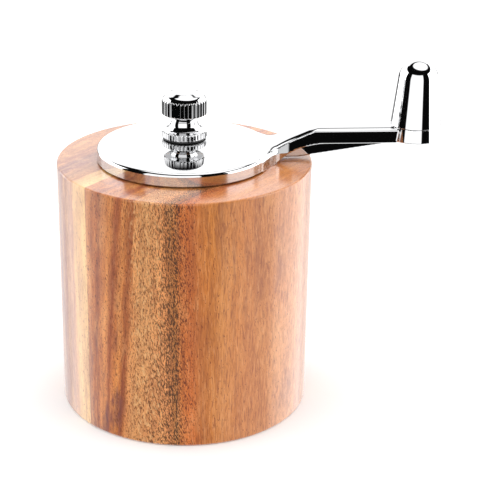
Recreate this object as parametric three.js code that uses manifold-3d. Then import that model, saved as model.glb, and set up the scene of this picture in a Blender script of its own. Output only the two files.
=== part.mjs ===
// Hand-cranked burr grinder: turned wooden body, polished crank lid, knurled
// adjusting nut, and a conical burr mill held in the base.
// Millimetres, +Z up. The spindle axis stands at x = AXIS_X, so that the origin
// is the centre of the whole footprint on the plane the grinder stands on.
import * as THREE from "three";
import { mergeVertices } from "three/addons/utils/BufferGeometryUtils.js";
import Module from "manifold-3d";

const wasm = await Module();
wasm.setup();

// ---------------------------------------------------------------- dimensions
const BODY_R = 40; // wooden body, outside radius
const BODY_H = 80.4; // wooden body, height
const CHAMBER_R = 22; // bean chamber bore
const POCKET_R = 22.5; // bore that holds the burr carrier
const POCKET_TOP = 33.6; // shoulder the bearing bridge seats under
const THROAT_R = 18; // neck between chamber and burrs
const RECESS_R = 29; // open recess in the base
const RECESS_Z = 10.5; // depth of that recess
const SCREW_PCR = 25.4; // pitch radius of the three base screws

const PLATE_R = 27.4; // crank lid, rim radius
const PLATE_Z0 = 80.75; // lower edge of the rim
const PLATE_RIM_Z = 84.95; // where the dome starts
const PLATE_TOP = 87.4; // crown of the dome
const CEILING_Z = 82.6; // underside that turns on the glide ring

const CRANK_R = 72.3; // spindle axis to knob axis
const ARM_HALF_W = 5.1; // half width of the arm
const ARM_TOP = 91.3; // level run of the arm, top
const ARM_BOT = 86.8; // level run of the arm, bottom
const BOSS_R0 = 8.35; // boss and knob share one taper: radius at ARM_BOT
const KNOB_TAPER = 0.113; // radius lost per mm of height
const KNOB_Z0 = 91.5; // foot of the turning knob
const KNOB_BALL_R = 6.2; // domed end
const KNOB_TOP = 111.7;

const SPINDLE_R = 3.5; // round spindle
const SQUARE = 5; // milled squares, across flats
const THREAD_R = 2.5; // M5 end for the adjusting nut
const NUT_R = 7.05; // knurled bands
const NUT_Z0 = 87.83;
const NUT_TOP = 102.35;
const AXIS_X = -(CRANK_R + BOSS_R0 - BODY_R) / 2;

// -------------------------------------------------------------------- helpers
// A geometry's surface as a solid, turned the right way out.
function solid(geometry) {
  const g = geometry.index ? geometry.toNonIndexed() : geometry.clone();
  g.deleteAttribute("normal");
  g.deleteAttribute("uv");
  const m = mergeVertices(g, 1e-4);
  const tri = new Uint32Array(m.index.array);
  const make = () =>
    new wasm.Manifold(
      new wasm.Mesh({
        numProp: 3,
        vertProperties: m.attributes.position.array,
        triVerts: tri,
      }),
    );
  let s = make();
  if (s.volume() < 0) {
    for (let i = 0; i < tri.length; i += 3)
      [tri[i + 1], tri[i + 2]] = [tri[i + 2], tri[i + 1]];
    s = make();
  }
  return s;
}

// A solid back as a geometry.
function geometry(s) {
  const m = s.getMesh();
  const n = m.numProp;
  const p = new Float32Array(m.numVert * 3);
  for (let i = 0; i < m.numVert; i++)
    p.set(m.vertProperties.subarray(i * n, i * n + 3), i * 3);
  const g = new THREE.BufferGeometry();
  g.setAttribute("position", new THREE.BufferAttribute(p, 3));
  g.setIndex(new THREE.BufferAttribute(new Uint32Array(m.triVerts), 1));
  const flat = g.toNonIndexed();
  flat.computeVertexNormals();
  return flat;
}

// [r, z] points turned about the Z axis. shape(angle, r, z) may return another radius.
function turned(profile, segments = 40, shape = null) {
  const pts = profile.map(([r, z]) => new THREE.Vector2(r, z));
  if (profile[0][0] > 1e-9) pts.push(pts[0].clone());
  const g = new THREE.LatheGeometry(pts, segments);
  g.rotateX(Math.PI / 2);
  if (shape) {
    const p = g.attributes.position;
    for (let i = 0; i < p.count; i++) {
      const x = p.getX(i);
      const y = p.getY(i);
      const r = Math.hypot(x, y);
      if (r < 1e-6) continue;
      const step = (2 * Math.PI) / segments;
      let k = Math.round(Math.atan2(y, x) / step);
      k = ((k % segments) + segments) % segments;
      const q = shape(k, r, p.getZ(i));
      const a = k * step + (q.twist || 0);
      p.setXY(i, q.r * Math.cos(a), q.r * Math.sin(a));
    }
  }
  return solid(g);
}

const ring = (r0, r1, z0, z1, segments = 40) =>
  turned([[r0, z0], [r1, z0], [r1, z1], [r0, z1]], segments);
const disc = (r, z0, z1, segments = 32) =>
  solid(new THREE.CylinderGeometry(r, r, z1 - z0, segments).rotateX(Math.PI / 2).translate(0, 0, (z0 + z1) / 2));
const box = (x0, x1, y0, y1, z0, z1) =>
  solid(new THREE.BoxGeometry(x1 - x0, y1 - y0, z1 - z0).translate((x0 + x1) / 2, (y0 + y1) / 2, (z0 + z1) / 2));

// An outline in the XY plane, raised from z0 to z1.
function raised(points, z0, z1) {
  const s = new THREE.Shape(points.map(([x, y]) => new THREE.Vector2(x, y)));
  return solid(new THREE.ExtrudeGeometry(s, { depth: z1 - z0, bevelEnabled: false }).translate(0, 0, z0));
}
// A side view in the XZ plane, as wide as -half to half in Y.
function sideways(points, half) {
  const s = new THREE.Shape(points.map(([x, z]) => new THREE.Vector2(x, z)));
  return solid(
    new THREE.ExtrudeGeometry(s, { depth: 2 * half, bevelEnabled: false })
      .rotateX(Math.PI / 2)
      .translate(0, half, 0),
  );
}
const at = (s, angle, r = 0, z = 0) => s.rotate([0, 0, angle]).translate([r * Math.cos((angle * Math.PI) / 180), r * Math.sin((angle * Math.PI) / 180), z]);

// ------------------------------------------------------------------ materials
const mat = (color, roughness, metalness) =>
  new THREE.MeshStandardMaterial({ color, roughness, metalness });
const wood = mat(0xc27d47, 0.42, 0);
const chrome = mat(0xe6e7ea, 0.05, 1);
const burrSteel = mat(0x8d9094, 0.35, 1);
const castZinc = mat(0xa6a8ab, 0.45, 1);
const plateSteel = mat(0xb9bbbd, 0.3, 1);
const springSteel = mat(0x9a9da1, 0.3, 1);
const bronze = mat(0xb58a4c, 0.4, 1);
const blackNylon = mat(0x1b1b1c, 0.55, 0);
const whiteNylon = mat(0xe9e5da, 0.5, 0);

const part = new THREE.Group();
part.position.x = AXIS_X;
function add(name, s, material) {
  const mesh = new THREE.Mesh(geometry(s), material);
  mesh.name = name;
  part.add(mesh);
  return mesh;
}

// ---------------------------------------------------------------- wooden body
const SCREW_ANGLES = [90, 210, 330];
let body = turned(
  [
    [RECESS_R, 0], [BODY_R - 0.7, 0], [BODY_R, 0.7], [BODY_R, BODY_H - 0.6], [BODY_R - 0.6, BODY_H],
    [CHAMBER_R, BODY_H], [CHAMBER_R, 43], [THROAT_R, 36.5],
    [THROAT_R, POCKET_TOP], [POCKET_R, POCKET_TOP], [POCKET_R, RECESS_Z], [RECESS_R, RECESS_Z],
  ],
  48,
);
for (const a of SCREW_ANGLES) body = body.subtract(at(disc(1.75, RECESS_Z - 1, 21.5, 10), a, SCREW_PCR));
add("wooden_body", body, wood);

// --------------------------------------------------- burr carrier and its mill
const LUGS = [30, 150, 270];
const lug = (r0, r1, half, z0, z1, a) => box(r0, r1, -half, half, z0, z1).rotate([0, 0, a]);
let carrier = turned(
  [
    [18.15, 9.2], [28.3, 9.2], [28.3, 10.4], [22.25, 10.4], [22.25, 31], [16.6, 31], [16.6, 28.15], [18.15, 28.15],
  ],
  48,
);
for (const a of SCREW_ANGLES) carrier = carrier.subtract(at(disc(2.05, 8, 12, 12), a, SCREW_PCR));
for (const a of LUGS) carrier = carrier.subtract(lug(17.5, 19.9, 2.15, 8, 17.2, a));
for (const a of [60, 240]) carrier = carrier.subtract(lug(15, 20, 2.15, 29.4, 32, a));
add("burr_carrier", carrier, castZinc);

// Outer burr: coarse flutes at the mouth, fine flutes where the cones run close.
const FLUTES = 24;
const outerIn = (z) => (z < 15 ? 16.35 - ((z - 9.3) * 2.15) / 5.7 : 14.2 + ((z - 15) * 1.9) / 13);
let outerBurr = turned(
  [
    [outerIn(9.3), 9.3], [18, 9.3], [18, 28], [outerIn(28), 28],
    [outerIn(20), 20], [outerIn(15), 15],
  ],
  2 * FLUTES,
  (k, r, z) => ({ r: r > 17 ? r : r + (k % 2 ? (z > 15.5 ? 0.9 : 0.35) : 0) }),
);
for (const a of LUGS) outerBurr = outerBurr.add(lug(17.4, 19.6, 1.9, 9.3, 16.9, a));
add("outer_burr", outerBurr, burrSteel);

let retaining = ring(16.9, 28.2, 7.9, 9.1, 40);
for (const a of SCREW_ANGLES) retaining = retaining.subtract(at(disc(2.05, 7, 10, 12), a, SCREW_PCR));
add("retaining_plate", retaining, plateSteel);

// Bearing bridge: a ring, three spokes and the hub that guides the spindle.
let bridge = ring(17.2, 22.2, 31.1, 33.4, 40).add(ring(5.2, 7, 31.1, 38, 24));
for (const a of LUGS) bridge = bridge.add(lug(6, 18.4, 2.2, 31.1, 33.4, a));
for (const a of [60, 240]) bridge = bridge.add(lug(17.4, 19.8, 1.9, 29.7, 32, a));
add("bearing_bridge", bridge, castZinc);
add("bearing_bush", turned([[3.6, 31.3], [5.05, 31.3], [5.05, 38.1], [6.3, 38.1], [6.3, 39.1], [3.6, 39.1]], 24), bronze);

// Pan-head wood screws with a cross recess.
function screw(headR, headZ0, headZ1, shankR, tipZ, drive) {
  const s = turned(
    [
      [0, headZ0], [headR * 0.66, headZ0], [headR, headZ0 + (headZ1 - headZ0) * 0.6], [headR, headZ1],
      [shankR, headZ1], [shankR, tipZ - 1.6], [0, tipZ],
    ],
    12,
  );
  const d = drive / 2;
  return s
    .subtract(box(-d, d, -0.32, 0.32, headZ0 - 1, headZ0 + 0.85))
    .subtract(box(-0.32, 0.32, -d, d, headZ0 - 1, headZ0 + 0.85));
}
SCREW_ANGLES.forEach((a, i) => add("base_screw_" + (i + 1), at(screw(3.1, 6.2, 7.8, 1.6, 20.5, 3.6), a, SCREW_PCR), plateSteel));

// Compression spring between the hub and the thrust washer.
class Helix extends THREE.Curve {
  constructor(r, z0, z1, turns) {
    super();
    Object.assign(this, { r, z0, z1, turns });
  }
  getPoint(t, target = new THREE.Vector3()) {
    const a = t * this.turns * 2 * Math.PI;
    return target.set(this.r * Math.cos(a), this.r * Math.sin(a), this.z0 + (this.z1 - this.z0) * t);
  }
}
function coil(r, wire, z0, z1, turns, steps) {
  const c = new THREE.Shape();
  c.absarc(0, 0, wire, 0, 2 * Math.PI);
  const pts = c.getPoints(3).slice(0, -1);
  return solid(
    new THREE.ExtrudeGeometry(new THREE.Shape(pts), {
      steps,
      bevelEnabled: false,
      extrudePath: new Helix(r, z0, z1, turns),
      curveSegments: 1,
    }),
  );
}
add("burr_spring", coil(4.7, 0.5, 26.75, 30.4, 2.75, 34), springSteel);

// -------------------------------------------------------- spindle and its burr
add("thrust_washer", ring(3.8, 6.4, 25.3, 26.15, 24), plateSteel);

const rod = turned(
  [
    [0, 9.8], [SPINDLE_R, 9.8], [SPINDLE_R, 40.8], [2.8, 40.8], [2.8, 41.8], [SPINDLE_R, 41.8], [SPINDLE_R, 86.7],
    [THREAD_R, 87.1], [THREAD_R, 97.1], [THREAD_R - 0.5, 97.6], [0, 97.6],
  ],
  24,
);
const flats = (z0, z1) => {
  const h = SQUARE / 2;
  return box(-6, 6, h, 6, z0, z1).add(box(-6, 6, -6, -h, z0, z1)).add(box(h, 6, -6, 6, z0, z1)).add(box(-6, -h, -6, 6, z0, z1));
};
add("spindle", rod.subtract(flats(9, 25.2)).subtract(flats(78.2, 87.3)).subtract(disc(1.75, 9, 18.5, 12)), plateSteel);

// Inner burr: spiral feed teeth above, fine teeth below.
const innerOut = (z) => (z < 15 ? 15.75 - ((z - 9.4) * 2.2) / 5.6 : 13.2 - ((z - 15) * 5.2) / 10);
let innerBurr = turned(
  [
    [3.9, 9.4], [innerOut(9.4), 9.4], [innerOut(15), 15], [innerOut(18.3), 18.3],
    [innerOut(21.7), 21.7], [innerOut(25), 25.1], [3.9, 25.1],
  ],
  2 * FLUTES,
  (k, r, z) => {
    if (r < 5) return { r };
    if (z < 15.5) return { r: r - (k % 2 ? 0.4 : 0), twist: 0.01 * (z - 9.4) };
    const depth = Math.min(1.9, 0.4 + (z - 15) * 0.35);
    return { r: r - depth * ((k % 6) / 5), twist: 0.056 + 0.045 * (z - 15) };
  },
);
// The bore is filled and opened again as the square that the spindle drives.
innerBurr = innerBurr.add(ring(2, 4.4, 9.4, 25.1, 16)).subtract(box(-2.65, 2.65, -2.65, 2.65, 9, 26));
add("inner_burr", innerBurr, burrSteel);
add("burr_washer", ring(1.9, 6.2, 8.4, 9.3, 24), plateSteel);
add("burr_screw", screw(3.7, 6.5, 8.3, 1.6, 17.6, 4.4), plateSteel);

// Open retaining clip in the spindle's groove.
const clip = ring(2.95, 5.6, 40.9, 41.7, 24)
  .subtract(box(0, 7, -1.7, 1.7, 40, 43))
  .subtract(box(-7, -4.9, -1.1, 1.1, 40, 43));
add("retaining_clip", clip.rotate([0, 0, 35]), springSteel);

// ------------------------------------------------------------------ crank lid
add(
  "glide_ring",
  turned([[20.4, 75.5], [21.75, 75.5], [21.75, 80.5], [25, 80.5], [25, 82.5], [20.4, 82.5]], 40),
  blackNylon,
);

const dome = (r) => PLATE_TOP - (PLATE_TOP - PLATE_RIM_Z) * (r / 26.4) ** 2;
const domePts = [26.4, 20, 14, 7.6].map((r) => [r, dome(r)]);
let crank = turned(
  [
    [5.45, 79.2], [8, 79.2], [8, 83.8], [9.6, 84.6], [15, 84.2], [19.6, CEILING_Z], [25.3, CEILING_Z],
    [25.3, PLATE_Z0], [PLATE_R, PLATE_Z0], [PLATE_R, 84.2], ...domePts, [7.6, PLATE_TOP],
    [3.85, PLATE_TOP], [3.85, 86], [5.45, 86],
  ],
  48,
);

// Arm: its side view and its plan, crossed.
const armSide = sideways(
  [
    [26.3, PLATE_Z0], [27.8, PLATE_Z0], [28.8, 81.2], [29.7, 82], [30.9, 82.85], [32.6, 83.65], [39.1, 86.5], [40.2, ARM_BOT],
    [70, ARM_BOT], [70, ARM_TOP], [40.5, ARM_TOP], [39.6, 91.1], [34.5, 89], [30.6, 87.3], [28.3, 86.25],
    [26.4, 85.5], [24.4, 85.15], [23.4, 84.6], [26.3, 83.2],
  ],
  12,
);
const armPlan = raised(
  [
    [22.5, -9.3], [25.15, -8.7], [26.6, -7.6], [28.1, -6.5], [30.2, -5.6], [32.6, -5.2], [35, -ARM_HALF_W], [70, -ARM_HALF_W],
    [70, ARM_HALF_W], [35, ARM_HALF_W], [32.6, 5.2], [30.2, 5.6], [28.1, 6.5], [26.6, 7.6], [25.15, 8.7], [22.5, 9.3],
  ],
  79,
  93,
);
// The rib runs close over the wood, then rises to the boss.
const rib = sideways(
  [
    [26.2, 81.1], [37.7, 81.1], [38.3, 81.6], [43.7, 82.65], [55.8, 84.2], [62.5, 85.1], [66.5, 86.3], [67.5, 87.1],
    [67.5, 87.6], [41, 87.6], [33, 84.9], [26.2, 84.4],
  ],
  1.6,
);
const bossTopR = BOSS_R0 - KNOB_TAPER * (ARM_TOP - ARM_BOT);
const boss = turned([[0, ARM_BOT], [BOSS_R0 - 0.3, ARM_BOT], [BOSS_R0, ARM_BOT + 0.3], [bossTopR, ARM_TOP], [0, ARM_TOP]], 32).translate([CRANK_R, 0, 0]);
crank = crank
  .add(armSide.intersect(armPlan))
  .add(rib)
  .add(boss)
  .subtract(disc(5.1, 86, 88.4, 24).translate([CRANK_R, 0, 0]))
  .subtract(disc(3.3, 88, 92, 24).translate([CRANK_R, 0, 0]));
add("crank", crank, chrome);

add(
  "drive_bush",
  ring(2, 5.3, 79.3, 85.85, 24).subtract(box(-2.65, 2.65, -2.65, 2.65, 79, 87)),
  plateSteel,
);
add("nut_washer", ring(2.8, 6.7, 87.45, 87.78, 24), blackNylon);

// -------------------------------------------------------------- adjusting nut
const KNURLS = 32;
add(
  "thumb_nut",
  turned(
    [
      [0, 98.6], [2.65, 98.6], [2.65, NUT_Z0], [NUT_R, NUT_Z0], [NUT_R, 89.75], [5.1, 90.75], [4.1, 92.4], [4.2, 94.3],
      [6.7, 95.2], [NUT_R, 95.4], [NUT_R, 99.7], [6.5, 100.9], [4.6, 101.9], [0, NUT_TOP],
    ],
    2 * KNURLS,
    (k, r, z) => ({ r: r > 7 && k % 2 ? r - 0.42 : r }),
  ),
  chrome,
);

// ----------------------------------------------------------------------- knob
const knobR = (z) => BOSS_R0 - KNOB_TAPER * (z - ARM_BOT);
const knobProfile = [[0, 92.5], [5.4, 92.5], [5.4, KNOB_Z0], [knobR(KNOB_Z0), KNOB_Z0]];
knobProfile.push([knobR(106.2), 106.2]);
const ballZ = KNOB_TOP - KNOB_BALL_R;
for (const a of [22, 40, 58, 76]) knobProfile.push([KNOB_BALL_R * Math.cos((a * Math.PI) / 180), ballZ + KNOB_BALL_R * Math.sin((a * Math.PI) / 180)]);
knobProfile.push([0, KNOB_TOP]);
add("knob", turned(knobProfile, 32).subtract(disc(2.05, 90, 103, 16)).translate([CRANK_R, 0, 0]), chrome);
add("knob_washer", ring(2.75, 5.1, 91.4, 92.4, 24).translate([CRANK_R, 0, 0]), blackNylon);
add("knob_bush", ring(2.55, 3.15, 88.5, 91.25, 24).translate([CRANK_R, 0, 0]), whiteNylon);
const knobScrew = turned(
  [[0, 86.9], [3.9, 86.9], [4.3, 87.3], [4.3, 88.25], [2.4, 88.25], [2.4, 92.35], [1.9, 92.45], [1.9, 102.2], [0, 102.2]],
  16,
)
  .subtract(box(-5, 5, -0.4, 0.4, 86, 87.6))
  .translate([CRANK_R, 0, 0]);
add("knob_screw", knobScrew, plateSteel);

export default part;
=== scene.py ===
import math

import bpy
import numpy as np
from mathutils import Matrix, Vector


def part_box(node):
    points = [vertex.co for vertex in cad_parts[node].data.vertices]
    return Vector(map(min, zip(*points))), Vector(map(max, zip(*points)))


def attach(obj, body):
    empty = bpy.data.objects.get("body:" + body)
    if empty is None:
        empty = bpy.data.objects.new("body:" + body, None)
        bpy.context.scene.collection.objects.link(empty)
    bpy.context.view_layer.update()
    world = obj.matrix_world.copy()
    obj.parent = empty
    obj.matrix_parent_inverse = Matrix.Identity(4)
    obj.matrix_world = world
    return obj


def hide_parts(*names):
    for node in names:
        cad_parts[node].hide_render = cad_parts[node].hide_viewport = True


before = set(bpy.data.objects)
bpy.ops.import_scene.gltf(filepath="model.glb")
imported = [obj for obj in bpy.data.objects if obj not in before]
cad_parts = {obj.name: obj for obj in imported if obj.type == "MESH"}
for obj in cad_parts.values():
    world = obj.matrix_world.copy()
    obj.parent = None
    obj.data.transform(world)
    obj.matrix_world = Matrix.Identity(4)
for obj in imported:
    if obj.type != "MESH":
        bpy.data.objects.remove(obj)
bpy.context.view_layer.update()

# ---------------------------------------------------------------- frame facts
lo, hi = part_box("wooden_body")
AX = (lo[0] + hi[0]) / 2  # the spindle's axis, metres
klo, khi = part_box("knob")
KX = ((klo[0] + khi[0]) / 2 - AX) * 1000  # the knob's axis, mm from the spindle
MM = 0.001


# ------------------------------------------------------------- mesh utilities
def piece(name, verts, faces, normals=None, smooth=True, crease=None):
    """A new object from points in millimetres, x counted from the spindle's axis."""
    v = np.asarray(verts, float) * MM
    v[:, 0] += AX
    me = bpy.data.meshes.new(name)
    me.from_pydata(v.tolist(), [], [list(map(int, f)) for f in faces])
    me.validate()
    me.update()
    ob = bpy.data.objects.new(name, me)
    bpy.context.scene.collection.objects.link(ob)
    me.polygons.foreach_set("use_smooth", [smooth] * len(me.polygons))
    if crease is not None:
        me.set_sharp_from_angle(angle=math.radians(crease))
    if normals is not None:
        me.normals_split_custom_set_from_vertices(np.asarray(normals).tolist())
    me.update()
    return ob


def outline(points, steps=5, edge=0.12):
    """A closed or open outline from (a, b) or (a, b, radius) corners: each radius becomes an arc, and long straight
    runs get a point close to each end so that the shading stays flat between them."""
    n = len(points)
    closed = points[0][0] > 1e-9 or points[-1][0] > 1e-9
    out = []
    for i in range(n):
        p = np.array(points[i][:2], float)
        r = points[i][2] if len(points[i]) > 2 else 0.0
        if not closed and i in (0, n - 1):
            out.append(p)
            continue
        a = np.array(points[i - 1][:2], float)
        b = np.array(points[(i + 1) % n][:2], float)
        if r <= 0:
            out.append(p)
            continue
        u, w = a - p, b - p
        lu, lw = np.linalg.norm(u), np.linalg.norm(w)
        u, w = u / lu, w / lw
        half = math.acos(max(-1, min(1, float(u @ w)))) / 2
        if half > math.pi / 2 - 0.01:
            out.append(p)
            continue
        t = min(r / math.tan(half), lu * 0.49, lw * 0.49)
        r = t * math.tan(half)
        c = p + (u + w) / np.linalg.norm(u + w) * (r / math.sin(half))
        s, e = p + u * t - c, p + w * t - c
        a0, a1 = math.atan2(s[1], s[0]), math.atan2(e[1], e[0])
        d = (a1 - a0 + math.pi) % (2 * math.pi) - math.pi
        for k in range(steps + 1):
            a = a0 + d * k / steps
            out.append(c + r * np.array([math.cos(a), math.sin(a)]))
    dense = []
    m = len(out)
    for i in range(m):
        p, q = out[i], out[(i + 1) % m]
        dense.append(p)
        if not closed and i == m - 1:
            break
        length = np.linalg.norm(q - p)
        if length > 4 * edge:
            dense.append(p + (q - p) * edge / length)
            dense.append(q - (q - p) * edge / length)
    return dense, closed


def lathe(name, points, seg=128, steps=5, shape=None, x=0.0, crease=50, edge=0.12):
    """An outline in (r, z) turned about a vertical axis. shape(angle, r, z) gives another radius."""
    prof, closed = outline(points, steps, edge)
    area = 0.0
    for i in range(len(prof)):
        p, q = prof[i], prof[(i + 1) % len(prof)]
        area += p[0] * q[1] - q[0] * p[1]
    if area < 0:
        prof = prof[::-1]
    verts, rows = [], []
    for r, z in prof:
        if r < 1e-6:
            rows.append([len(verts)] * seg)
            verts.append((x, 0, z))
            continue
        row = []
        for k in range(seg):
            a = 2 * math.pi * k / seg
            q = shape(a, r, z) if shape else r
            q, a = q if isinstance(q, tuple) else (q, a)
            row.append(len(verts))
            verts.append((x + q * math.cos(a), q * math.sin(a), z))
        rows.append(row)
    faces = []
    count = len(rows)
    for i in range(count if closed else count - 1):
        a, b = rows[i], rows[(i + 1) % count]
        for k in range(seg):
            j = (k + 1) % seg
            f = [a[k], a[j], b[j], b[k]]
            f = [v for n, v in enumerate(f) if v != f[n - 1]]
            if len(set(f)) > 2:
                faces.append(f)
    return piece(name, verts, faces, crease=crease)


def loft(name, sections, closed_ring=False, crease=40):
    """Rings of points joined one to the next, with both ends filled."""
    n = len(sections[0])
    verts = [p for s in sections for p in s]
    faces = []
    m = len(sections)
    for i in range(m if closed_ring else m - 1):
        for k in range(n):
            a, b = i * n, ((i + 1) % m) * n
            faces.append([a + k, a + (k + 1) % n, b + (k + 1) % n, b + k])
    if not closed_ring:
        faces.append(list(range(n))[::-1])
        faces.append([(m - 1) * n + k for k in range(n)])
    ob = piece(name, verts, faces, crease=crease)
    return ob


def plate_of(name, pts, z0, z1, x=0.0):
    """A prism from an outline in plan."""
    n = len(pts)
    verts = [(x + p[0], p[1], z0) for p in pts] + [(x + p[0], p[1], z1) for p in pts]
    faces = [list(range(n))[::-1], [n + k for k in range(n)]]
    faces += [[k, (k + 1) % n, n + (k + 1) % n, n + k] for k in range(n)]
    return piece(name, verts, faces, smooth=True, crease=40)


def block(x0, x1, y0, y1, z0, z1, turn=0.0, r=0.0, x=0.0, y=0.0):
    """A cutter box, turned about the vertical axis and moved out by r along that direction."""
    t = math.radians(turn)
    c, s = math.cos(t), math.sin(t)
    pts = []
    for zz in (z0, z1):
        for px, py in ((x0, y0), (x1, y0), (x1, y1), (x0, y1)):
            pts.append((x + c * (px + r) - s * py, y + s * (px + r) + c * py, zz))
    faces = [[3, 2, 1, 0], [4, 5, 6, 7]] + [[k, (k + 1) % 4, 4 + (k + 1) % 4, 4 + k] for k in range(4)]
    return piece("cutter", pts, faces, smooth=True, crease=30)


def post(r, z0, z1, x=0.0, y=0.0, seg=48):
    pts = [(x + r * math.cos(2 * math.pi * k / seg), y + r * math.sin(2 * math.pi * k / seg)) for k in range(seg)]
    return plate_of("cutter", pts, z0, z1)


def combine(base, others, op="DIFFERENCE"):
    """Cuts or joins, with the result kept as the base's own mesh."""
    for o in others:
        mod = base.modifiers.new("b", "BOOLEAN")
        mod.operation = op
        mod.solver = "EXACT"
        mod.object = o
    dg = bpy.context.evaluated_depsgraph_get()
    me = bpy.data.meshes.new_from_object(base.evaluated_get(dg))
    base.modifiers.clear()
    base.data = me
    for o in others:
        m = o.data
        bpy.data.objects.remove(o)
        bpy.data.meshes.remove(m)
    return base


def soften(ob, width=0.15, segments=2, angle=35, crease=35):
    """Small bevels on the sharp edges, kept as the mesh."""
    mod = ob.modifiers.new("bevel", "BEVEL")
    mod.width = width * MM
    mod.segments = segments
    mod.limit_method = "ANGLE"
    mod.angle_limit = math.radians(angle)
    mod.harden_normals = False
    dg = bpy.context.evaluated_depsgraph_get()
    me = bpy.data.meshes.new_from_object(ob.evaluated_get(dg))
    ob.modifiers.clear()
    ob.data = me
    me.polygons.foreach_set("use_smooth", [True] * len(me.polygons))
    me.set_sharp_from_angle(angle=math.radians(crease))
    return ob


# --------------------------------------------------- crank: a filleted solid
def round_join(a, b, r):
    return np.maximum(r, np.minimum(a, b)) - np.hypot(np.maximum(r - a, 0), np.maximum(r - b, 0))


def round_cut(a, b, r):
    return np.minimum(-r, np.maximum(a, b)) + np.hypot(np.maximum(r + a, 0), np.maximum(r + b, 0))


PLATE_R, PLATE_Z0, PLATE_TOP = 27.4, 80.75, 87.4
DOME = 143.5
ARM_TOP, ARM_BOT, ARM_W = 91.3, 86.8, 5.1
BOSS_R, TAPER = 8.35, 0.113
SLOPE = math.radians(23.0)


def below(x, z, px, pz, angle):
    """Signed distance above a line through (px, pz) that climbs at this angle."""
    return (z - pz) * math.cos(angle) - (x - px) * math.sin(angle)


def crank_field(p):
    x, y, z = p[..., 0], p[..., 1], p[..., 2]
    ya = np.abs(y)
    r = np.hypot(x, y)
    dome = np.sqrt(r * r + (z - (PLATE_TOP - DOME)) ** 2) - DOME
    disc = round_cut(round_cut(r - PLATE_R, dome, 0.85), PLATE_Z0 - z, 0.25)
    # arm: flat top, a bevel along each edge, nearly sharp sides
    top = round_cut(z - ARM_TOP, below(x, z, 39.9, ARM_TOP, SLOPE), 0.8)
    low = round_join(86.45 - z, -below(x, z, 39.2, 86.45, SLOPE), 1.6)
    low = round_join(low, -below(x, z, 27.9, PLATE_Z0, math.radians(47)), 2.2)
    flare = 13.6
    side = np.where(
        x < 35,
        flare - np.hypot(np.minimum(x, 35) - 35, np.minimum(ya - (ARM_W + flare), 0)),
        ya - ARM_W,
    )
    side = np.where(ya > ARM_W + flare, 5.0, side)
    bevel = 0.487 * side + 0.873 * top + 0.62
    arm = round_cut(round_cut(side, bevel, 0.16), top, 0.7)
    arm = round_cut(arm, low, 0.35)
    start = 14.0 + 7.5 * np.clip((ya - 6.0) / 8.0, 0, 1)
    arm = np.maximum(arm, np.maximum(start - x, x - KX))
    wedge = math.atan2(ARM_W + flare, 35.0)
    arm = np.maximum(arm, ya * math.cos(wedge) - x * math.sin(wedge))
    arm = np.maximum(arm, PLATE_Z0 - z)
    # rib under the arm
    rib_low = np.maximum(81.1 - z, -below(x, z, 38.1, 81.45, math.atan2(85.1 - 81.45, 62.5 - 38.1)))
    rib = round_cut(round_cut(ya - 1.6, rib_low, 0.45), np.maximum(z - 88.0, below(x, z, 39.9, ARM_TOP, SLOPE) + 2.0), 0.3)
    rib = np.maximum(rib, np.maximum(26.0 - x, x - 68.0))
    # boss
    cone = (np.hypot(x - KX, y) - (BOSS_R - TAPER * (z - ARM_BOT))) * math.cos(math.atan(TAPER))
    boss = round_cut(round_cut(cone, 86.9 - z, 0.35), z - ARM_TOP, 0.03)
    f = round_join(disc, arm, 2.6)
    f = round_join(f, boss, 0.3)
    f = round_join(f, rib, 0.5)
    # underside of the lid
    dish = np.maximum(r - 25.3, z - 82.6)
    ring = round_cut(round_cut(9.4 - r, r - 18.6, 0.9), z - 84.5, 0.9)
    dish = np.minimum(dish, ring)
    f = round_cut(f, -dish, 0.3)
    hub = round_cut(round_cut(r - 8.0, 79.2 - z, 0.5), z - 86.0, 0.2)
    f = round_join(f, hub, 0.9)
    f = round_cut(f, -np.maximum(r - 5.45, z - 86.0), 0.25)
    f = round_cut(f, -(r - 3.85), 0.2)
    rk = np.hypot(x - KX, y)
    f = round_cut(f, -np.maximum(rk - 5.1, z - 88.4), 0.25)
    f = round_cut(f, -(rk - 3.3), 0.15)
    return f


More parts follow.
